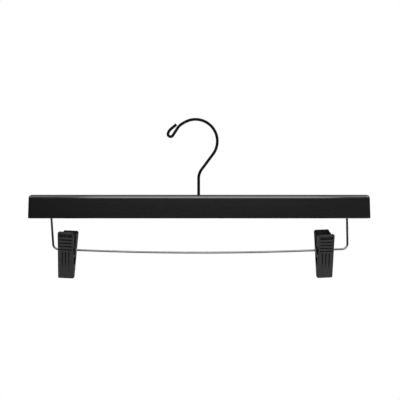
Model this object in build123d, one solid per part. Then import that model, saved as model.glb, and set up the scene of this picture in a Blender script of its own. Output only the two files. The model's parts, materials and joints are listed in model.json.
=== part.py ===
from build123d import *

import os
from math import acos, asin, atan, ceil, cos, degrees, pi, radians, sin, sqrt, tan

# A trouser hanger: a wooden rail on a swivel hook, with two spring clips on a bowed wire bar under it.
# Millimetres, +Z up, +X to the right and the front facing -Y.
# The origin is where a rod carries the hook, at the top of the inside of its bay.

# Rail
rail_length = 358.0  # along its lower edge
rail_height = 24.8
rail_thickness = 12.0
rail_end_draft = 0.8  # each end leans in by this much at the top
rail_round = 3.7  # routed round the top edges and down the ends
rail_foot_ease = 1.0
hole_shift = 0.6  # the hook's hole stands this far left of the rail's middle

# Hook, bent from one wire
hook_wire = 3.0
bay_radius = 22.9  # to the middle of the wire
bay_offset = 3.3  # the bay stands this far left of the swivel axis
bay_height = 56.25  # the bay's centre above the rail
neck_lean = 36.7  # degrees
neck_bend = 15.5
bay_turn = 157.0  # degrees
brow_run = 2.9
brow_turn = 26.8  # degrees
brow_bend = 14.0
mouth_run = 9.3
curl_turn = 167.0  # degrees
curl_bend = 2.8
lift_turn = 30.0  # degrees
lift_bend = 10.2
tip_run = 7.4
hook_tip_ease = 0.4

# Swivel, in the rail's underside pocket
shank_depth = 10.0
shoulder_play = 0.2
thread_diameter = 2.5
swivel_fit = 0.1  # round the shank, in the wood and in the washer
thread_fit = 0.02
pocket_diameter = 8.6
pocket_depth = 5.0
washer_diameter = 7.0
washer_thickness = 0.6
nut_across_flats = 5.0
nut_height = 2.0
thread_end = 0.6

# Clip bar
bar_wire = 2.2
bar_drop = 36.1  # from the rail down to the middle of the bow
bow_radius = 3000.0
leg_inset = 23.8  # each leg's mouth from its end of the rail's lower edge
left_leg_lean = 3.9  # degrees, inward on the way down
right_leg_lean = -1.0  # degrees, so this leg leans out
bar_bend = 5.5
leg_depth = 14.0
leg_fit = 0.02

# Clip jaws, measured from the pivot
jaw_width = 16.2
handle_reach = 19.2
tip_reach = 29.8
handle_half_depth = 12.5
tip_half_depth = 2.4
plate_thickness = 1.8
handle_corner = 2.0
tip_corner = 1.2
face_ease = 0.5
flange_thickness = 1.6
flange_gap = 0.2  # from the middle of the clip
deep_flange_stand = 3.2  # at the handle's top, from the middle of the clip
shallow_flange_stand = 8.1
shallow_flange_foot = 4.6
flange_corner = 1.5
ear_radius = 4.7
ear_swing_gap = 0.3
ear_proud = 0.9
outer_ear_thickness = 2.4
inner_ear_thickness = 1.8
ear_gap = 0.2
open_angle = 16.0  # degrees, each jaw

# Grip grooves across the handles, with a tall one under the lip, and flutes that fade toward the tips
grip_count = 4
grip_pitch = 3.4
grip_first = 0.7
grip_radius = 0.65
grip_depth = 1.0
grip_inset = 1.6
lip_height = 2.4
lip_groove_height = 3.1
flute_count = 3
flute_pitch = 3.4
flute_start = 1.6
flute_end = 23.0
flute_start_radius = 0.65
flute_end_radius = 0.35
flute_depth = 1.0
flute_lift = 0.05  # how far a flute has left the face at its foot

# Pads in the jaw tips
pad_height = 8.5
pad_lift = 0.9
pad_side_gap = 0.2
pad_gap = 0.1  # from the middle of the clip
pad_groove_count = 4
pad_groove_radius = 0.35

# Pivot sleeve, which runs on the bar
sleeve_diameter = 3.4
bar_fit = 0.1
pivot_fit = 0.1
sleeve_head_diameter = 4.2
sleeve_head_thickness = 0.6
sleeve_head_gap = 0.15
sleeve_head_ease = 0.2

# Clip spring, one wire coiled round the sleeve
spring_wire = 0.9
spring_radius = 2.7  # to the middle of the wire
spring_pitch = 1.4
spring_turns = 5  # whole turns, before the arms take their part off
spring_reach = 13.4  # height of the arm ends above the pivot
spring_seat_gap = 0.1

# Where the clips stand in the photograph; the left one is slid out to its stop
right_clip_slack = 9.4  # how far the right one stands short of its own stop
left_clip_swing = 0.0  # degrees, handles toward the viewer
right_clip_swing = 9.6
bend_gap = 0.1  # between a clip's sleeve and the bar's bend, at its stop
meeting_gap = 1.8  # between the two clips when both are slid to the middle

overrun = 1.0  # how far a cutter runs past the face it opens

# Places that follow from those sizes
hook_radius = hook_wire / 2
bar_radius = bar_wire / 2
thread_radius = thread_diameter / 2
bay_z = hook_radius - bay_radius
rail_top = bay_z - bay_height
rail_bottom = rail_top - rail_height
leg_spacing = rail_length - 2 * leg_inset
shoulder_z = rail_top - shank_depth
pocket_z = rail_bottom + pocket_depth
washer_z = pocket_z - washer_thickness
nut_z = washer_z - nut_height
bow_centre = Vector(0, 0, rail_bottom - bar_drop + bow_radius)

sleeve_radius = sleeve_diameter / 2
half_width = jaw_width / 2
ear_outside = half_width + ear_proud
ear_inside = ear_outside - outer_ear_thickness
inner_ear_outside = ear_inside - ear_gap
inner_ear_inside = inner_ear_outside - inner_ear_thickness
sleeve_half_length = ear_outside + sleeve_head_gap + sleeve_head_thickness

clip_height = handle_reach + tip_reach
face_tilt = atan((handle_half_depth - tip_half_depth) / clip_height)
pivot_half_depth = tip_half_depth + tip_reach * tan(face_tilt)


def face_depth(z, inward=0):
    """How far the jaw's outer face, or a face that lies inward of it, stands from the clip's middle at z."""
    return pivot_half_depth + z * tan(face_tilt) - inward / cos(face_tilt)


def tube(edges, radius):
    """A round wire along joined edges."""
    path = Wire(edges)
    return sweep(Plane(origin=path @ 0, z_dir=path % 0) * Circle(radius), path=path)


def across(radius, low, high):
    """A cylinder along X, from low to high."""
    rod = Cylinder(radius, high - low, align=(Align.CENTER, Align.CENTER, Align.MIN))
    return Pos(low, 0, 0) * Rot(0, 90, 0) * rod


def upright(radius, low, high):
    """A cylinder along Z, from low to high."""
    return Pos(0, 0, low) * Cylinder(radius, high - low, align=(Align.CENTER, Align.CENTER, Align.MIN))


def bent_wire(start, steps):
    """A wire's edges in the XZ plane, setting out upward: each step is a run, a left turn and its radius."""
    point, heading, edges = Vector(*start), Vector(0, 1), []
    for run, turn, bend in steps:
        if run:
            edges.append(Line(point, point + heading * run))
            point = edges[-1] @ 1
        if turn:
            edges.append(JernArc(point, heading, bend, turn))
            point, heading = edges[-1] @ 1, edges[-1] % 1
    return [Plane.XZ * edge for edge in edges]


def hook_edges():
    lean = radians(neck_lean)
    tangent_x = bay_radius * cos(lean) - bay_offset
    tangent_z = bay_z - bay_radius * sin(lean)
    corner_z = tangent_z - tangent_x / tan(lean)
    bend_length = neck_bend * tan(lean / 2)
    shank_run = corner_z - bend_length - shoulder_z
    neck_run = tangent_x / sin(lean) - bend_length
    steps = [
        (shank_run, -neck_lean, neck_bend),
        (neck_run, bay_turn, bay_radius),
        (brow_run, brow_turn, brow_bend),
        (mouth_run, -curl_turn, curl_bend),
        (0, -lift_turn, lift_bend),
        (tip_run, 0, 0),
    ]
    return bent_wire((0, shoulder_z), steps)


def make_hook():
    edges = hook_edges()
    wire = tube(edges, hook_radius)
    tip = edges[-1] @ 1
    rim = wire.edges().filter_by(GeomType.CIRCLE).sort_by_distance(tip)[0]
    wire = fillet(rim, hook_tip_ease)
    return wire + upright(thread_radius, nut_z - thread_end, shoulder_z)


def make_washer():
    disc = upright(washer_diameter / 2, washer_z, pocket_z)
    return disc - upright(thread_radius + swivel_fit, washer_z - overrun, pocket_z + overrun)


def make_nut():
    hexagon = RegularPolygon(nut_across_flats / 2, 6, major_radius=False)
    nut = Pos(0, 0, nut_z) * extrude(hexagon, nut_height)
    return nut - upright(thread_radius + thread_fit, nut_z - overrun, washer_z + overrun)


def bar_side(side, lean_degrees):
    """The ends of one leg of the bar, in the rail and at its bend, and where the bend meets the bow."""
    lean = radians(lean_degrees)
    down = Vector(-side * sin(lean), 0, -cos(lean))
    inward = Vector(-side * cos(lean), 0, sin(lean))
    mouth = Vector(side * leg_spacing / 2, 0, rail_bottom)
    start = mouth + inward * bar_bend - bow_centre
    along = start.dot(down)
    fall = sqrt(along**2 - start.dot(start) + (bow_radius - bar_bend) ** 2) - along
    bend_centre = bow_centre + start + down * fall
    leg_foot = bend_centre - inward * bar_bend
    bow_end = bow_centre + (bend_centre - bow_centre).normalized() * bow_radius
    return mouth - down * leg_depth, leg_foot, bow_end


def bar_edges():
    left_end, left_foot, left_bow = bar_side(-1, left_leg_lean)
    right_end, right_foot, right_bow = bar_side(1, right_leg_lean)
    bow = ThreePointArc(left_bow, bow_centre - Vector(0, 0, bow_radius), right_bow)
    return [
        Line(left_end, left_foot),
        TangentArc(left_foot, left_bow, tangent=left_foot - left_end),
        bow,
        TangentArc(right_bow, right_foot, tangent=bow % 1),
        Line(right_foot, right_end),
    ]


def clip_stop(side, lean):
    """How far out a clip can slide on its side of the bar, from the bow's middle."""
    bow_end = bar_side(side, lean)[2]
    return side * (abs(bow_end.X) - sleeve_half_length - bend_gap)


def slope_at(place):
    """How the bow leans at a place along it, in degrees."""
    return degrees(asin(place / bow_radius))


def make_rail():
    top_half = rail_length / 2 - rail_end_draft
    outline = Polyline(
        (-rail_length / 2, rail_bottom),
        (rail_length / 2, rail_bottom),
        (top_half, rail_top),
        (-top_half, rail_top),
        close=True,
    )
    bar = extrude(Plane.XZ * make_face(outline), rail_thickness / 2, both=True)
    foot = bar.faces().sort_by(Axis.Z)[0].edges()
    rounded = bar.edges() - foot
    bar = fillet(rounded, rail_round)
    bar = fillet(bar.faces().sort_by(Axis.Z)[0].edges(), rail_foot_ease)
    hole = upright(hook_radius + swivel_fit, shoulder_z - shoulder_play, rail_top + overrun)
    hole += upright(thread_radius + swivel_fit, rail_bottom, rail_top - rail_round)
    hole += upright(pocket_diameter / 2, rail_bottom - overrun, pocket_z)
    bar -= Pos(-hole_shift, 0, 0) * hole
    for side, lean in ((-1, left_leg_lean), (1, right_leg_lean)):
        leg_end, leg_foot = bar_side(side, lean)[:2]
        bar -= tube([Line(leg_end, leg_foot)], bar_radius + leg_fit)
    return bar


def flange(edge_points, low_x, high_x):
    """A jaw's side wall, from the middle of its plate to the given free edge."""
    top, foot = handle_reach - handle_corner, tip_corner - tip_reach
    skin = [(-face_depth(z, plate_thickness / 2), z) for z in (top, foot)]
    wall = make_face(Plane.YZ * Polyline(*skin, (-flange_gap, foot), *edge_points, close=True))
    corner = wall.vertices().group_by(Axis.Z)[-1].sort_by(Axis.Y)[-1]
    wall = fillet(corner, flange_corner)
    return extrude(Pos(low_x, 0, 0) * wall, high_x - low_x, dir=(1, 0, 0))


def make_jaw():
    """The front jaw, with its pivot along X and its handle up. The back jaw is the same, turned round."""
    top = handle_reach - handle_corner
    outward = (0, -cos(face_tilt), -sin(face_tilt))
    front = Plane(origin=(0, -pivot_half_depth, 0), x_dir=(1, 0, 0), z_dir=outward)
    high, low = handle_reach / cos(face_tilt), -tip_reach / cos(face_tilt)
    shape = Pos(0, (high + low) / 2, 0) * Rectangle(jaw_width, high - low)
    shape = fillet(shape.vertices().group_by(Axis.Y)[-1], handle_corner)
    shape = fillet(shape.vertices().group_by(Axis.Y)[0], tip_corner)
    plate = extrude(shape, -plate_thickness)
    plate = front * fillet(plate.faces().sort_by(Axis.Z)[-1].edges(), face_ease)

    # the deep side, with the outer ear
    deep = flange([(-flange_gap, 0), (-deep_flange_stand, top)], -half_width, flange_thickness - half_width)
    deep -= across(ear_radius + ear_swing_gap, -ear_inside, flange_thickness - half_width + overrun)
    outer_ear = across(ear_radius, -ear_outside, -ear_inside)

    # the shallow side, with the inner ear and the web that carries it
    edge = [(-flange_gap, 0), (-shallow_flange_foot, 0), (-shallow_flange_stand, top)]
    shallow = flange(edge, half_width - flange_thickness, half_width)
    inner_ear = across(ear_radius, inner_ear_inside, inner_ear_outside)
    web_depth = face_depth(-ear_radius, plate_thickness / 2)
    web = Pos(inner_ear_inside, -web_depth, -ear_radius) * Box(
        inner_ear_thickness, web_depth, 2 * ear_radius, align=(Align.MIN, Align.MIN, Align.MIN)
    )
    shallow = shallow + web + inner_ear
    shallow -= across(ear_radius + ear_swing_gap, inner_ear_outside, half_width + overrun)

    jaw = plate + deep + outer_ear + shallow
    jaw -= across(sleeve_radius + pivot_fit, -ear_outside - overrun, half_width)

    side = half_width - grip_inset
    for number in range(grip_count):
        rise = (grip_first + number * grip_pitch) / cos(face_tilt)
        jaw -= front * Pos(0, rise, grip_radius - grip_depth) * across(grip_radius, -side, side)
    rise = (handle_reach - lip_height - lip_groove_height / 2) / cos(face_tilt)
    jaw -= front * Pos(0, rise, 0) * Box(2 * side, lip_groove_height, 2 * grip_depth)
    for number in range(flute_count):
        x = (number - (flute_count - 1) / 2) * flute_pitch
        start = Vector(x, -flute_start / cos(face_tilt), flute_start_radius - flute_depth)
        end = Vector(x, -flute_end / cos(face_tilt), flute_end_radius + flute_lift)
        length = (end - start).length
        flute = Pos(0, 0, length / 2) * Cone(flute_start_radius, flute_end_radius, length)
        jaw -= front * Plane(origin=start, z_dir=end - start) * flute
    return jaw


def make_pad():
    """The soft pad that fills the wedge inside the front jaw's tip."""
    low = pad_lift - tip_reach
    high = low + pad_height
    inner = [(-face_depth(z, plate_thickness), z) for z in (low, high)]
    wedge = make_face(Plane.YZ * Polyline((-pad_gap, high), (-pad_gap, low), *inner, close=True))
    half = half_width - flange_thickness - pad_side_gap
    pad = extrude(Pos(-half, 0, 0) * wedge, 2 * half, dir=(1, 0, 0))
    step = pad_height / (pad_groove_count + 1)
    for number in range(pad_groove_count):
        groove = across(pad_groove_radius, -half - overrun, half + overrun)
        pad -= Pos(0, -pad_gap, low + (number + 1) * step) * groove
    return pad


def make_sleeve():
    body = across(sleeve_radius, -sleeve_half_length, sleeve_half_length)
    head_start = sleeve_half_length - sleeve_head_thickness
    for low, high in ((-sleeve_half_length, -head_start), (head_start, sleeve_half_length)):
        head = across(sleeve_head_diameter / 2, low, high)
        body += fillet(head.edges().filter_by(GeomType.CIRCLE), sleeve_head_ease)
    return body - across(bar_radius + bar_fit, -sleeve_half_length - overrun, sleeve_half_length + overrun)


def biarc(start, start_way, end, end_way):
    """Two arcs that join two points of a coil, each tangent to the coil's own direction there."""
    chord, ways = end - start, start_way + end_way
    spread = 2 * (1 - start_way.dot(end_way))
    reach = (sqrt(chord.dot(ways) ** 2 + spread * chord.dot(chord)) - chord.dot(ways)) / spread
    first, last = start + start_way * reach, end - end_way * reach
    meeting = (first + last) / 2
    return [TangentArc(start, meeting, tangent=start_way), TangentArc(meeting, end, tangent=last - first)]


def spring_geometry():
    """The angles where the arms leave the coil, and the length of an arm, seen along the pivot."""
    seat = face_depth(spring_reach, plate_thickness) - (spring_wire / 2 + spring_seat_gap) / cos(face_tilt)
    distance = sqrt(seat**2 + spring_reach**2)
    lift = asin(spring_reach / distance)
    leave = acos(spring_radius / distance)
    return lift - leave, sqrt(distance**2 - spring_radius**2)


def coil_point(angle, turned):
    """A point of the coil and its direction, after turning by this much from the back arm."""
    rise = spring_pitch / (2 * pi)
    point = Vector(turned * rise, spring_radius * cos(angle), spring_radius * sin(angle))
    way = Vector(rise, spring_radius * sin(angle), -spring_radius * cos(angle))
    return point, way.normalized()


def spring_edges():
    start_angle, arm = spring_geometry()
    total = spring_turns * 2 * pi - (pi - 2 * start_angle)
    steps = ceil(total / (pi / 2))
    stations = []
    for number in range(steps + 1):
        turned = total * number / steps
        point, way = coil_point(start_angle - turned, turned - total / 2)
        stations.append((point, way))
    edges = [Line(stations[0][0] - stations[0][1] * arm, stations[0][0])]
    for (start, start_way), (end, end_way) in zip(stations, stations[1:]):
        edges += biarc(start, start_way, end, end_way)
    edges.append(Line(stations[-1][0], stations[-1][0] + stations[-1][1] * arm))
    return edges


def least_gap(edges, radius, apart, samples=12):
    """The least gap between stretches of one wire that are at least this far apart along it."""
    points, run = [], 0
    for edge in edges:
        for number in range(samples):
            points.append((run + edge.length * number / samples, edge @ (number / samples)))
        run += edge.length
    pairs = [(p - q).length for s, p in points for t, q in points if t - s > apart]
    return min(pairs) - 2 * radius


def clip_location(place, swing):
    """Where a clip stands on the bow, leaning with it, and swung round it."""
    centre = Pos(bow_centre.X, bow_centre.Y, bow_centre.Z)
    return centre * Rot(0, -slope_at(place), 0) * Pos(0, 0, -bow_radius) * Rot(swing, 0, 0)


turn_round = Rot(0, 0, 180)
jaw, pad = make_jaw(), make_pad()
sleeve, spring = make_sleeve(), tube(spring_edges(), spring_wire / 2)
clip_nodes = {
    "front_jaw": jaw,
    "back_jaw": turn_round * jaw,
    "front_pad": pad,
    "back_pad": turn_round * pad,
    "spring": spring,
    "pivot_sleeve": sleeve,
}
at_swivel = Pos(bay_offset, 0, 0)
at_middle = Pos(bay_offset + hole_shift, 0, 0)
nodes = {
    "rail": at_middle * make_rail(),
    "hook": at_swivel * make_hook(),
    "hook_washer": at_swivel * make_washer(),
    "hook_nut": at_swivel * make_nut(),
    "clip_bar": at_middle * tube(bar_edges(), bar_radius),
}
left_stop, right_stop = clip_stop(-1, left_leg_lean), clip_stop(1, right_leg_lean)
right_clip_place = right_stop - right_clip_slack
clips = {"left": (left_stop, left_clip_swing), "right": (right_clip_place, right_clip_swing)}
for side, (place, swing) in clips.items():
    for name, shape in clip_nodes.items():
        nodes[f"{side}_{name}"] = at_middle * clip_location(place, swing) * shape

os.makedirs("parts", exist_ok=True)
for name, shape in nodes.items():
    export_step(shape, f"parts/{name}.step")

for name, edges, radius in (
    ("hook wire", hook_edges(), hook_radius),
    ("clip bar", bar_edges(), bar_radius),
    ("spring", spring_edges(), spring_wire / 2),
):
    length = sum(edge.length for edge in edges)
    swept = tube(edges, radius).volume
    share = swept / (length * pi * radius**2)
    print(f"{name}: length {length:.1f} mm, volume {share:.4f} of section x length")
meeting_slope = slope_at(sleeve_half_length + meeting_gap / 2)
right_slope = slope_at(right_clip_place)
travels = {
    "left": (0, -meeting_slope - slope_at(left_stop)),
    "right": (right_slope - slope_at(right_stop), right_slope - meeting_slope),
}
for side, (outward, inward) in travels.items():
    print(f"{side} clip: slides from {outward:.3f} to {inward:.3f} degrees inward about the bow's centre")
print(f"spring: least gap to itself {least_gap(spring_edges(), spring_wire / 2, 2 * spring_radius):.2f} mm")
print(f"hook: least gap to itself {least_gap(hook_edges(), hook_radius, 4 * hook_wire):.2f} mm")
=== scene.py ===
# %% [markdown]
# # A trouser hanger, dressed for its photograph
#
# The shapes come from CAD: a black lacquered rail on a swivel hook, a bowed bar of plated wire, and two
# sprung clips. This notebook gives every piece the finish of its real material, opens the clips' sides,
# builds the coil springs as two halves each, and lights the whole as a small product studio would.
#
# **Step 1: load the frame.** The imported model holds every piece in its place, and the joints that move it.
# Everything is in metres: +X to the right, the front facing -Y, and +Z up. The origin is where a rod
# carries the hook.

import json
from math import acos, asin, atan, cos, pi, radians, sin, sqrt, tan

import bmesh
import bpy
from mathutils import Matrix, Vector


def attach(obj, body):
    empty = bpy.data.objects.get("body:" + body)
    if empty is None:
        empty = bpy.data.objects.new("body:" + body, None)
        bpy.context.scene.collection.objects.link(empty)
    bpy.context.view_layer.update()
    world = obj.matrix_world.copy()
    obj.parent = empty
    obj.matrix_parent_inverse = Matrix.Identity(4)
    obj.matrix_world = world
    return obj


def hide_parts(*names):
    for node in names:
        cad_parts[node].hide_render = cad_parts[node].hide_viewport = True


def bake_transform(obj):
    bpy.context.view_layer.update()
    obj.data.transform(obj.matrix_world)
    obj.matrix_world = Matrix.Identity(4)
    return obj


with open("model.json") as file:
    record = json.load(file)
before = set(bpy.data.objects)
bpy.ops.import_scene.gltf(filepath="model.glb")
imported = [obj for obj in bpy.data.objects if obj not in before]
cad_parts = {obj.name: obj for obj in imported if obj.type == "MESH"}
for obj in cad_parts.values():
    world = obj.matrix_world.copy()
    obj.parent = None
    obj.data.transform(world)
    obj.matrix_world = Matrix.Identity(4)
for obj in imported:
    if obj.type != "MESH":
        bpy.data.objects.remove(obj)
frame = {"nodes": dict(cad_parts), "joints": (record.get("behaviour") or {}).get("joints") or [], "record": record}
nodes, joints = frame["nodes"], frame["joints"]
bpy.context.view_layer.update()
MM = 0.001
print("nodes:", ", ".join(sorted(nodes)))

# %% [markdown]
# **Step 2: small tools.** A colour read off a picture is an sRGB hex code, but shaders work in linear
# light, so one function converts every code. Materials could be wired by hand in the shader editor. In
# code, a node takes a single line once a small function adds it, fills its sockets and hands back the
# output that is linked on.
#
# Nearly every finish also needs an uneven pattern whose size is known in millimetres. It could be painted
# on a UV map, but object coordinates need no unwrapping, keep one scale over the whole piece, and move with
# it. A few shapes aren't in the CAD. They are built as meshes, and one function puts each into the scene.

# %% Colour
def linear(code):
    """The linear RGBA of an sRGB hex code."""
    parts = [int(code[i:i + 2], 16) / 255 for i in (0, 2, 4)]
    return [c / 12.92 if c <= 0.04045 else ((c + 0.055) / 1.055) ** 2.4 for c in parts] + [1.0]


print("handled plastic #444444 is", round(linear("444444")[0], 4), "in linear light")

# %% One function for every node
def add(tree, kind, sockets=(), out=0, **settings):
    """Adds a node, makes its settings, sets or links its sockets, and returns one of its outputs."""
    node = tree.nodes.new(kind)
    for name, value in settings.items():
        setattr(node, name, value)
    for socket, value in dict(sockets).items():
        if isinstance(value, bpy.types.NodeSocket):
            tree.links.new(value, node.inputs[socket])
        else:
            node.inputs[socket].default_value = value
    return node.outputs[out] if node.outputs else None


print("a Mix node's colour sockets are inputs 6 and 7, and its colour is output 2")

# %% A pattern measured in millimetres
QUIET, LOUD = 0.3, 0.7  # noise seldom leaves this range, so it is spread out to run from 0 to 1


def mottle(tree, feature_mm, stretch=(1, 1, 1), detail=2.0):
    """An uneven pattern from about 0 to 1, with features this wide. Stretch squeezes it along each axis."""
    here = add(tree, "ShaderNodeTexCoord", out="Object")
    squeezed = add(tree, "ShaderNodeMapping", {"Vector": here, "Scale": stretch})
    sockets = {"Vector": squeezed, "Scale": 1 / (feature_mm * MM), "Detail": detail}
    noise = add(tree, "ShaderNodeTexNoise", sockets)
    sockets = {"Value": noise, "From Min": QUIET, "From Max": LOUD}
    return add(tree, "ShaderNodeMapRange", sockets, clamp=False)


print("a 1 mm feature has noise scale", 1 / MM)

# %% A mesh put into the scene
def placed(name, mesh):
    """An object made of this bmesh, which is used up."""
    data = bpy.data.meshes.new(name)
    mesh.to_mesh(data)
    mesh.free()
    made = bpy.data.objects.new(name, data)
    bpy.context.scene.collection.objects.link(made)
    return made


# %% A material from its sockets
def cleared(owner):
    """The node tree of a material or a world, emptied."""
    owner.use_nodes = True
    owner.node_tree.nodes.clear()
    return owner.node_tree


def material(name, build):
    """A material whose Principled shader takes the sockets that build returns."""
    made = bpy.data.materials.new(name)
    tree = cleared(made)
    shader = add(tree, "ShaderNodeBsdfPrincipled", build(tree))
    add(tree, "ShaderNodeOutputMaterial", {"Surface": shader})
    print(name, "has", len(tree.nodes), "nodes")
    return made


print("ready to mix materials")

# %% [markdown]
# **Step 3: the rail's lacquer.** The rail is hardwood, sanded smooth, sprayed black and rubbed down between
# coats. It could be covered with a picture of lacquer, but the picture's reflections would stay put when
# the hanger turns. The Principled shader makes live ones: a nearly black base for the stained wood, under a
# clear coat for the last, polished layer. Grain and spray ripple are bumps and not colours, since only the
# gloss shows them.

# %% Black lacquer, sprayed on sanded hardwood
def lacquer(tree):
    # To the eye: a deep, even black, a sharp bright line where the rounded edge mirrors a lamp, and a hint
    # of wood. Growth lines run along the rail about 1 mm apart. The real pores are near 0.1 mm wide, too
    # fine to show, so they are drawn at 0.35 mm. Orange peel, the ripple that a spray gun leaves, is
    # between 1 and 2 mm across.
    along_rail = (0.04, 1, 1)
    grain = mottle(tree, 0.9, along_rail, detail=5.0)
    pores = mottle(tree, 0.35, along_rail)
    peel = mottle(tree, 1.6, detail=1.0)
    relief = add(tree, "ShaderNodeBump", {"Height": grain, "Distance": 0.0005 * MM})
    relief = add(tree, "ShaderNodeBump", {"Height": pores, "Distance": 0.00015 * MM, "Normal": relief})
    relief = add(tree, "ShaderNodeBump", {"Height": peel, "Distance": 0.00025 * MM, "Normal": relief})
    stain = {0: grain, 6: linear("0b0b0a"), 7: linear("0e0e0d")}
    # Rubbing down goes along the rail too, and leaves streaks of gloss a few millimetres high.
    rubbed = {"Value": mottle(tree, 5.0, along_rail), "To Min": 0.27, "To Max": 0.29}
    return {
        "Base Color": add(tree, "ShaderNodeMix", stain, 2, data_type="RGBA"),
        "Roughness": add(tree, "ShaderNodeMapRange", rubbed),
        "IOR": 1.55,
        "Coat Weight": 1.0,
        "Coat IOR": 1.6,
        "Coat Roughness": 0.1,
        "Normal": relief,
        "Coat Normal": relief,
    }


black_lacquer = material("sprayed_black_lacquer_on_hardwood", lacquer)

# %% [markdown]
# **Step 4: the hook's black coat.** The hook is steel wire, bent, then dipped in black paint and baked. It
# could be a black metal, but a metal shader has no dull black: whatever it doesn't reflect is gone. Paint
# over the steel is what is seen, so the shader is a plain non-metal, dark and satin, with the fine pebble
# of baked paint.

# %% Black dipped paint on steel wire
def dipped_paint(tree):
    # To the eye: a soft black line with no sparkle, which keeps its thickness against a white room.
    # The pebble of baked paint is near 0.1 mm and is drawn at 0.25 mm. The coat's tone drifts over 6 mm.
    drift = {0: mottle(tree, 6.0), 6: linear("060607"), 7: linear("0a0a0b")}
    rubbed = {"Value": mottle(tree, 2.5, detail=3.0), "To Min": 0.42, "To Max": 0.5}
    return {
        "Base Color": add(tree, "ShaderNodeMix", drift, 2, data_type="RGBA"),
        "Roughness": add(tree, "ShaderNodeMapRange", rubbed),
        "IOR": 1.5,
        "Specular IOR Level": 0.1,
        "Normal": add(tree, "ShaderNodeBump", {"Height": mottle(tree, 0.25), "Distance": 0.0016 * MM}),
    }


black_coat = material("dipped_black_paint_on_steel", dipped_paint)

# %% [markdown]
# **Step 5: the bare metals.** The bar is drawn wire with bright chromium plated over it. The sleeves, nut
# and washer are zinc plated, and the springs are hard-drawn steel wire with nothing on it. A metal has no
# colour but that of its reflections, so each needs only metallic at 1, a tint, and a roughness that varies
# a little. Scratches could be modelled, but they are far thinner than a pixel, and a pattern in the
# roughness looks alike.

# %% Chromium plate on drawn wire
def chromium(tree):
    # To the eye: thin bright and dark stripes along the wire, slightly blurred. The tint is darker than
    # chromium's usual one: shade painted into it, because the real room was darker round the bar than this
    # white one is. The 9 mm patches are tone that differs at random. Lines from the drawing die are under
    # 0.02 mm wide, so they are drawn at 0.12 mm, a hundred times as long.
    die_lines = mottle(tree, 0.12, (0.01, 1, 1), detail=3.0)
    tarnish_and_painted_shade = {0: mottle(tree, 9.0, detail=3.0), 6: linear("868787"), 7: linear("929392")}
    return {
        "Base Color": add(tree, "ShaderNodeMix", tarnish_and_painted_shade, 2, data_type="RGBA"),
        "Metallic": 1.0,
        "Roughness": add(tree, "ShaderNodeMapRange", {"Value": die_lines, "To Min": 0.2, "To Max": 0.28}),
        "Normal": add(tree, "ShaderNodeBump", {"Height": die_lines, "Distance": 0.0006 * MM}),
    }


chrome_plate = material("bright_chromium_plate_on_drawn_wire", chromium)

# %% Zinc plate
def zinc(tree):
    # To the eye: a pale, cool grey with cloudy patches about 1 mm wide, the crystals that plating grows.
    clouds = mottle(tree, 1.1, detail=4.0)
    tone = {0: clouds, 6: linear("a9abad"), 7: linear("c0c2c2")}
    return {
        "Base Color": add(tree, "ShaderNodeMix", tone, 2, data_type="RGBA"),
        "Metallic": 1.0,
        "Roughness": add(tree, "ShaderNodeMapRange", {"Value": clouds, "To Min": 0.28, "To Max": 0.4}),
        "Normal": add(tree, "ShaderNodeBump", {"Height": mottle(tree, 0.2), "Distance": 0.0008 * MM}),
    }


zinc_plate = material("zinc_plated_steel", zinc)

# %% Hard-drawn steel
def drawn_steel(tree):
    # To the eye: a grey, oily gleam. Its die lines, also under 0.02 mm, are drawn as 0.3 mm streaks.
    streak = mottle(tree, 0.3, detail=3.0)
    tone = {0: streak, 6: linear("7d7e80"), 7: linear("96989a")}
    return {
        "Base Color": add(tree, "ShaderNodeMix", tone, 2, data_type="RGBA"),
        "Metallic": 1.0,
        "Roughness": add(tree, "ShaderNodeMapRange", {"Value": streak, "To Min": 0.24, "To Max": 0.36}),
        "Normal": add(tree, "ShaderNodeBump", {"Height": mottle(tree, 0.1), "Distance": 0.0004 * MM}),
    }


spring_steel = material("hard_drawn_spring_steel", drawn_steel)

# %% [markdown]
# ** Step 6: the jaws' plastic.** The four jaws are ABS, injection moulded in a mould that sparks have
# eroded, which leaves them a satin charcoal. Shade is painted into their colour: grooves, sides and
# insides are painted black, standing in for the shadow they sit in, and only the open outer faces keep
# the charcoal.
#
# That painted shade could be drawn as a mask, but each jaw would need its own. Instead, two measures find
# the sheltered places. Ambient Occlusion tells how open a point is, and the piece's own normal tells
# whether it faces out. Both go with the jaw, so the painted shade stays where it is when the clip turns.

# %% How far the painted shade looks round
PAINTED_SHADE_REACH = 30.0 * MM  # how far round a point is looked for other surfaces when shade is painted
SHELTERED, OPEN = 0.6, 0.92  # openness below which the full painted shade is laid, and above which none is


def painted_shade_mask(tree):
    """From 0 where black shade is painted, in grooves, on sides and inside the jaws, to 1 for open outer faces."""
    openness = add(tree, "ShaderNodeAmbientOcclusion", {"Distance": PAINTED_SHADE_REACH}, "AO", samples=8)
    own_normal = add(tree, "ShaderNodeTexCoord", out="Normal")
    facing = add(tree, "ShaderNodeSeparateXYZ", {"Vector": own_normal}, "Y")
    outward = add(tree, "ShaderNodeMath", {0: facing}, operation="ABSOLUTE")
    open_and_outward = add(tree, "ShaderNodeMath", {0: openness, 1: outward}, operation="MULTIPLY")
    return add(tree, "ShaderNodeMapRange", {"Value": open_and_outward, "From Min": SHELTERED, "From Max": OPEN})


# The painted shade in the jaws' colour looks this far round each point for other surfaces.
print(f"a hand is taken to reach {PAINTED_SHADE_REACH / MM:.0f} mm round a point")

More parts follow.
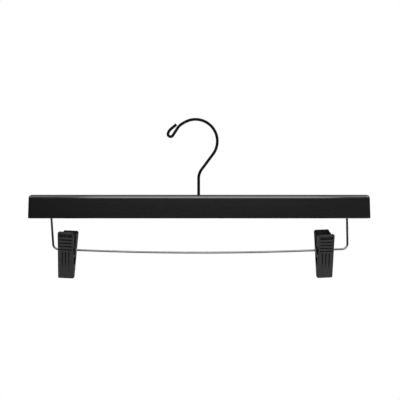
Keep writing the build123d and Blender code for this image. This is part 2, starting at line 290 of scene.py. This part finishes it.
# %% Black ABS from a spark-eroded mould
def moulded(tree):
    # To the eye: satin charcoal faces with shade painted black into the grooves, sides and insides, and a
    # gloss that is uneven over a few millimetres. Spark erosion leaves pits under 0.1 mm wide, drawn at
    # 0.16 mm. Flow through the mould gives 5 mm patches.
    pits, flow = mottle(tree, 0.16), mottle(tree, 5.0, detail=3.0)
    relief = add(tree, "ShaderNodeBump", {"Height": pits, "Distance": 0.0032 * MM})
    relief = add(tree, "ShaderNodeBump", {"Height": flow, "Distance": 0.004 * MM, "Normal": relief})
    face_tone = {0: flow, 6: linear("404040"), 7: linear("474747")}
    face_tone = add(tree, "ShaderNodeMix", face_tone, 2, data_type="RGBA")
    # Grooves, sides and insides get 0a0a0a: painted shade, darker than the plastic's own charcoal.
    painted_shade = {0: painted_shade_mask(tree), 6: linear("0a0a0a"), 7: face_tone}
    return {
        "Base Color": add(tree, "ShaderNodeMix", painted_shade, 2, data_type="RGBA"),
        "Roughness": add(tree, "ShaderNodeMapRange", {"Value": flow, "To Min": 0.52, "To Max": 0.6}),
        "IOR": 1.5,
        "Specular IOR Level": 0.2,
        "Normal": relief,
    }


black_plastic = material("moulded_black_abs", moulded)

# %% [markdown]
# **Step 7: the pads' rubber.** A ribbed rubber pad at the tip of each jaw keeps cloth from slipping. Its
# ribs are real shapes from the CAD. The shader could be a plain dark grey, but rubber is powdery, so a fine
# grain in both colour and bump breaks up the little light that it returns.

# %% Black rubber, moulded and dusted
def rubber(tree):
    # To the eye: nearly matt and soft. The dusting is near 0.1 mm and is drawn at 0.3 mm.
    dust = mottle(tree, 0.3, detail=3.0)
    tone = {0: dust, 6: linear("191919"), 7: linear("222222")}
    return {
        "Base Color": add(tree, "ShaderNodeMix", tone, 2, data_type="RGBA"),
        "Roughness": add(tree, "ShaderNodeMapRange", {"Value": dust, "To Min": 0.7, "To Max": 0.85}),
        "IOR": 1.5,
        "Normal": add(tree, "ShaderNodeBump", {"Height": dust, "Distance": 0.008 * MM}),
    }


pad_rubber = material("moulded_black_rubber", rubber)

# %% Give each piece its finish
finishes = {
    "rail": (black_lacquer, "lacquered_wood"),
    "hook": (black_coat, "black_steel"),
    "hook_washer": (zinc_plate, "plated_steel"),
    "hook_nut": (zinc_plate, "plated_steel"),
    "clip_bar": (chrome_plate, "chrome_wire"),
    "pivot_sleeve": (zinc_plate, "plated_steel"),
    "jaw": (black_plastic, "black_plastic"),
    "pad": (pad_rubber, "pad_rubber"),
}
for name, node in nodes.items():
    ending = next((e for e in finishes if name == e or name.endswith("_" + e)), None)
    if ending is None:
        continue
    finish, slot = finishes[ending]
    node.data.materials.clear()
    node.data.materials.append(finish)
    print(f"{name:20s} {finish.name}")

# %% [markdown]
# **Step 8: the openings in the clips' sides.** Under its ears each jaw's side walls step back, so that the
# two jaws leave a window between them. In the picture it is the black patch at the side of each clip. It
# could be a dark mark on the wall, but light and the far jaw show through a real opening. The CAD's walls
# are closed there, so each jaw is stood in for by a copy of its mesh with the window cut out.
#
# Each clip has its own frame: the pivot runs along X and the handles point up Z. The outline is drawn there
# in the YZ plane for the back jaw, and turned half round for the front one, which is the same moulding.

# %% The jaws' measures
HANDLE, TIP = (12.5 * MM, 19.2 * MM), (2.4 * MM, -29.8 * MM)  # depth and height of both ends of a jaw's face
PLATE = 1.8 * MM  # the thickness of a jaw's plate
WINDOW_LOW, WINDOW_HIGH = -14.8 * MM, -7.4 * MM  # heights above the pivot, which are below it here
SKIRT, CORNER = 0.5 * MM, 1.0 * MM  # what is left of the wall, and the rounding of the window's deep corners
CORNER_STEPS = 5
HALF_CUT = 10.0 * MM  # how far the cut reaches to each side, past the clip's half width of 8.1 mm
FLAT = 0.9999  # a face whose normal is this near to the pivot's direction belongs to a flat side

tilt = atan((HANDLE[0] - TIP[0]) / (HANDLE[1] - TIP[1]))
jaw_turns = {"back": Matrix.Identity(4), "front": Matrix.Rotation(pi, 4, "Z")}


def inner_face(z):
    """How far the inside of a jaw's plate stands from the clip's middle, this far above the pivot."""
    return TIP[0] + (z - TIP[1]) * tan(tilt) - PLATE / cos(tilt)


def clip_frame(side):
    """The clip's own frame: the pivot along X, the handles up Z and the back jaw on the side of Y."""
    swing = next(j for j in joints if j["name"] == f"{side}_swing")
    grip = next(m for m in frame["record"]["mounts"] if m["name"] == f"{side}_grip")
    across, down = Vector(swing["axis"]), Vector(grip["axis"])
    axes = Matrix([across, across.cross(down), -down]).transposed().to_4x4()
    return Matrix.Translation(Vector(swing["pos_m"])) @ axes


tall, deep = WINDOW_HIGH - WINDOW_LOW, inner_face(WINDOW_HIGH) - SKIRT
print(f"the window is {tall / MM:.1f} mm high and reaches {deep / MM:.1f} mm into each jaw")

# %% The window's outline
def window_outline():
    """Depths and heights round one jaw's part of the window."""
    outline = [(-SKIRT, WINDOW_LOW)]
    for z, inward, start in ((WINDOW_LOW, 1, -90), (WINDOW_HIGH, -1, 0)):
        depth = inner_face(z) - SKIRT - CORNER
        for number in range(CORNER_STEPS + 1):
            turn = radians(start + 90 * number / CORNER_STEPS)
            outline.append((depth + CORNER * cos(turn), z + inward * CORNER + CORNER * sin(turn)))
    return outline + [(-SKIRT, WINDOW_HIGH)]


print(len(window_outline()), "corners")

# %% A block in the window's shape
def window_block(place):
    """A prism with the window's outline, which runs right across the clip."""
    mesh = bmesh.new()
    near, far = [[mesh.verts.new((x, y, z)) for y, z in window_outline()] for x in (-HALF_CUT, HALF_CUT)]
    for k in range(len(near)):
        after = (k + 1) % len(near)
        mesh.faces.new((near[k], near[after], far[after], far[k]))
    mesh.faces.new(near[::-1])
    mesh.faces.new(far)
    bmesh.ops.recalc_face_normals(mesh, faces=mesh.faces)
    block = placed("window_block", mesh)
    block.data.transform(place)
    return block


print(f"the block is {2 * HALF_CUT / MM:.0f} mm long")

# %% Cut the windows
def cut_window(name, body, place):
    """A jaw with the window taken out of its side walls, in place of the whole one."""
    whole, block = nodes[name], window_block(place)
    cut = whole.modifiers.new("window", "BOOLEAN")
    cut.operation, cut.solver, cut.object = "DIFFERENCE", "EXACT", block
    shape = bpy.data.meshes.new_from_object(whole.evaluated_get(bpy.context.evaluated_depsgraph_get()))
    whole.modifiers.clear()
    bpy.data.meshes.remove(block.data)  # and the block with it
    # The cut slants the shading of the flat sides, so their corners are set to face straight out.
    shading = [corner.vector.copy() for corner in shape.corner_normals]
    for face in shape.polygons:
        if abs(face.normal.dot(place.col[0].xyz)) > FLAT:
            for corner in face.loop_indices:
                shading[corner] = face.normal
    shape.normals_split_custom_set(shading)
    made = bpy.data.objects.new(f"{name}_moulding", shape)
    made.matrix_world = whole.matrix_world
    bpy.context.scene.collection.objects.link(made)
    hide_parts(name)
    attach(made, body)
    print(made.name, "has", len(shape.polygons), "faces; the whole jaw has", len(whole.data.polygons))


for side in ("left", "right"):
    for jaw, turn in jaw_turns.items():
        cut_window(f"{side}_{jaw}_jaw", f"{side}_{jaw}", clip_frame(side) @ turn)

# %% [markdown]
# **Step 9: the springs.** One wire is coiled round each clip's sleeve, and its two arms push the handles
# apart. When the handles are pinched, each arm goes with its jaw and the coil between them winds tighter.
# The CAD's spring is rigid and would cut into a jaw. An armature or a hook modifier could bend it, but
# here the spring is built as two halves that meet at the middle of the coil, one for each jaw's arm, and
# the CAD's spring is hidden.
#
# The line is worked out in the clip's own frame, in the YZ plane: where the arm bears on the inside of the
# jaw, and from there the tangent to the coil.

# %% The spring's measures
WIRE, COIL, PITCH = 0.9 * MM, 2.7 * MM, 1.4 * MM  # the wire's width, the coil's radius and its rise per turn
TURNS, ARM_RISE, SEAT_GAP = 5, 13.4 * MM, 0.1 * MM  # ARM_RISE is how far above the pivot an arm ends

seat_depth = inner_face(ARM_RISE) - (WIRE / 2 + SEAT_GAP) / cos(tilt)
seat_distance = sqrt(seat_depth**2 + ARM_RISE**2)
leave = asin(ARM_RISE / seat_distance) - acos(COIL / seat_distance)
arm = sqrt(seat_distance**2 - COIL**2)
wound = TURNS * 2 * pi - (pi - 2 * leave)
rise = PITCH / (2 * pi)
print(f"coil of {wound / (2 * pi):.2f} turns, arms {arm / MM:.1f} mm long")

# %% The line of one half
COIL_STEPS = 96
ARM_PARTS = (1.0, 0.75, 0.5, 0.25)  # shares of the arm's length at which it has a ring of points


def half_spring():
    """Points from the end of the back jaw's arm to the middle of the coil."""
    turned = [wound / 2 * number / COIL_STEPS for number in range(COIL_STEPS + 1)]
    coil = [Vector(((t - wound / 2) * rise, COIL * cos(leave - t), COIL * sin(leave - t))) for t in turned]
    way = Vector((rise, COIL * sin(leave), -COIL * cos(leave))).normalized()
    return [coil[0] - way * arm * part for part in ARM_PARTS] + coil


print(len(half_spring()), "points in half a spring")

# %% A tube of mesh along a line
def tube(name, points, radius, around=14):
    """A round wire along points, turned as little as possible from one ring to the next."""
    mesh = bmesh.new()
    side = Vector((1, 0, 0))
    rings = []
    for number, point in enumerate(points):
        ahead = points[min(number + 1, len(points) - 1)] - points[max(number - 1, 0)]
        ahead.normalize()
        side = (side - ahead * side.dot(ahead)).normalized()
        other = ahead.cross(side)
        turns = [2 * pi * k / around for k in range(around)]
        rings.append([mesh.verts.new(point + (side * cos(t) + other * sin(t)) * radius) for t in turns])
    for low, high in zip(rings, rings[1:]):
        for k in range(around):
            mesh.faces.new((low[k], low[(k + 1) % around], high[(k + 1) % around], high[k]))
    mesh.faces.new(rings[0][::-1])
    bmesh.ops.recalc_face_normals(mesh, faces=mesh.faces)
    made = placed(name, mesh)
    for polygon in made.data.polygons:
        polygon.use_smooth = len(polygon.vertices) == 4
    print(name, "has", len(made.data.polygons), "faces")
    return made


print("the cut end is flat, and the long sides are shaded smooth")

# %% Two halves to each spring
for side in ("left", "right"):
    clip = clip_frame(side)
    for jaw, turn in jaw_turns.items():
        half = tube(f"{side}_spring_{jaw}", half_spring(), WIRE / 2)
        half.data.transform(clip @ turn)
        half.data.materials.append(spring_steel)
        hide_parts(f"{side}_spring")
        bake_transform(half)

# %% [markdown]
# **Step 10: the room.** The hanger is held up against white. One sheet of paper makes the floor and the
# wall behind it, with a smooth bend between them so that no corner shows. It could be lit until it turned
# white, but that would flood the black pieces with light. Instead it glows at full white only for the eye,
# for reflections and through glass, and stays plain paper for all other light. On the floor the glow gives
# way a little to the paper beneath, which is where the hanger drops its soft shadow.

# %% Floor and wall
FLOOR, WALL, BEND = -0.62, 1.5, 0.6  # the floor's height, how far back the wall stands, and the bend's radius
HALF_WIDTH, FRONT, TOP = 0.9, -0.25, 0.85  # where the sheet ends at the sides, in front and above
BEND_STEPS = 12
profile = [(FRONT, FLOOR), (WALL - BEND, FLOOR)]
for number in range(1, BEND_STEPS + 1):
    turn = pi / 2 * number / BEND_STEPS
    profile.append((WALL - BEND + BEND * sin(turn), FLOOR + BEND - BEND * cos(turn)))
profile.append((WALL, TOP))
sheet = bmesh.new()
edges = [[sheet.verts.new((x, y, z)) for y, z in profile] for x in (-HALF_WIDTH, HALF_WIDTH)]
for k in range(len(profile) - 1):
    sheet.faces.new((edges[0][k], edges[1][k], edges[1][k + 1], edges[0][k + 1])).smooth = True
backdrop = placed("studio_sheet", sheet)
print("the sheet has", len(backdrop.data.polygons), "faces")

# %% White paper
UNDER_HANGER = (0, 0.3, FLOOR)  # the shadow falls round this point
SHADOW_NEAR, SHADOW_FAR = 0.2, 0.5  # how far from it the glow starts to gain, and is full again
GLOW_IN_SHADOW = 0.85
paper = bpy.data.materials.new("white_studio_paper")
tree = cleared(paper)
kinds = ("Camera", "Glossy", "Transmission")
rays = [add(tree, "ShaderNodeLightPath", out=f"Is {kind} Ray") for kind in kinds]
seen = add(tree, "ShaderNodeMath", {0: rays[0], 1: rays[1]}, operation="MAXIMUM")
seen = add(tree, "ShaderNodeMath", {0: seen, 1: rays[2]}, operation="MAXIMUM")
matt = add(tree, "ShaderNodeBsdfDiffuse", {"Color": linear("f4f4f4")})
glow = add(tree, "ShaderNodeEmission", {"Color": linear("ffffff"), "Strength": 1.0})
here = add(tree, "ShaderNodeTexCoord", out="Object")
away = add(tree, "ShaderNodeVectorMath", {0: here, 1: UNDER_HANGER}, "Value", operation="DISTANCE")
fade = {"Value": away, "From Min": SHADOW_NEAR, "From Max": SHADOW_FAR,
        "To Min": GLOW_IN_SHADOW, "To Max": 1.0}
white = add(tree, "ShaderNodeMixShader", {"Fac": add(tree, "ShaderNodeMapRange", fade), 1: matt, 2: glow})
choice = add(tree, "ShaderNodeMixShader", {"Fac": seen, 1: matt, 2: white})
add(tree, "ShaderNodeOutputMaterial", {"Surface": choice})
backdrop.data.materials.append(paper)
print(paper.name, "has", len(tree.nodes), "nodes")

# %% The rest of the room
ROOM_LIGHT = 0.05  # what the dark studio beyond the lamps gives
world = bpy.data.worlds.new("studio")
bpy.context.scene.world = world
tree = cleared(world)
eye = add(tree, "ShaderNodeLightPath", out="Is Camera Ray")
dim = add(tree, "ShaderNodeBackground", {"Color": linear("ffffff"), "Strength": ROOM_LIGHT})
bright = add(tree, "ShaderNodeBackground", {"Color": linear("ffffff"), "Strength": 1.0})
choice = add(tree, "ShaderNodeMixShader", {"Fac": eye, 1: dim, 2: bright})
add(tree, "ShaderNodeOutputWorld", {"Surface": choice})
print("the room beyond the paper gives", ROOM_LIGHT)

# %% [markdown]
# **Step 11: the lamps.** A bright softbox stands low in front, a weaker one above it, and a weak bank hangs
# overhead. The rail's rounded edge mirrors all three as bands, one over the other: bright at the foot of
# the round, where it faces the first softbox, and grey above. Below the first softbox the room is dark,
# which is what cuts the bright line off so sharply at the flat face. The two front softboxes are only just
# wide enough, so the line fades toward the rail's ends. Weak lamps at the sides lift the ends of the rail
# and the edges of the clips.
#
# Point lamps or a sun would be simpler, but gloss mirrors the lamp itself, so its shape has to be that of a
# softbox. Brightness is given as what the softbox looks like seen straight on, where 1 is white.

# %% Softboxes
RAIL_MIDDLE = Vector((4 * MM, 0, -90 * MM))


def softbox(name, azimuth, elevation, away, wide, high, brightness):
    """An area lamp that faces the rail's middle. Azimuth 0 is the front, and degrees grow to the right."""
    lamp = bpy.data.lights.new(name, "AREA")
    lamp.shape, lamp.size, lamp.size_y = "RECTANGLE", wide, high
    lamp.energy = brightness * pi * wide * high
    made = bpy.data.objects.new(name, lamp)
    bpy.context.scene.collection.objects.link(made)
    side, lift = radians(azimuth), radians(elevation)
    toward = Vector((sin(side) * cos(lift), -cos(side) * cos(lift), sin(lift)))
    made.location = RAIL_MIDDLE + toward * away
    made.rotation_mode = "QUATERNION"
    made.rotation_quaternion = toward.to_track_quat("Z", "Y")
    made.visible_camera = False
    print(f"{name}: {lamp.energy:.1f} W")


# In order: azimuth and elevation in degrees, distance, width and height in metres, and brightness.
softbox("low_softbox", 1.5, 28, 0.9, 0.71, 0.52, 3.0)
softbox("high_softbox", 1.5, 62, 0.9, 0.64, 0.56, 1.7)
softbox("overhead_bank", 0, 105, 0.9, 1.0, 0.8, 0.4)
softbox("right_fill", 66, 42, 1.0, 0.8, 0.7, 2.0)
softbox("left_fill", -66, 42, 1.0, 0.8, 0.7, 1.6)
softbox("low_right_fill", 58, -24, 0.8, 0.7, 0.4, 1.5)

# %% [markdown]
# **Step 12: the camera.** It stands level, about 55 cm in front of the hanger and a little below the top of
# the rail. Its place shows in the picture: the near jaws stand out to the side of the far ones, and one
# side of each clip is seen. It could be tilted down on to the hanger, but then the rail's ends would lean.
# The lens is set from how many pixels a metre takes up in the picture at a metre's distance.

# %% Camera
PIXELS_PER_METRE_AT_A_METRE, PICTURE_WIDTH, SENSOR = 519.83, 400, 36.0
STAND = (4.73 * MM, -546 * MM, -83.19 * MM)
lens = bpy.data.cameras.new("camera")
lens.sensor_width = SENSOR
lens.lens = SENSOR * PIXELS_PER_METRE_AT_A_METRE / PICTURE_WIDTH
camera = bpy.data.objects.new("camera", lens)
bpy.context.scene.collection.objects.link(camera)
camera.location = STAND
camera.rotation_euler = (radians(90), 0, 0)
bpy.context.scene.camera = camera
bpy.context.scene.view_settings.view_transform = "Standard"
print(f"a {lens.lens:.1f} mm lens")
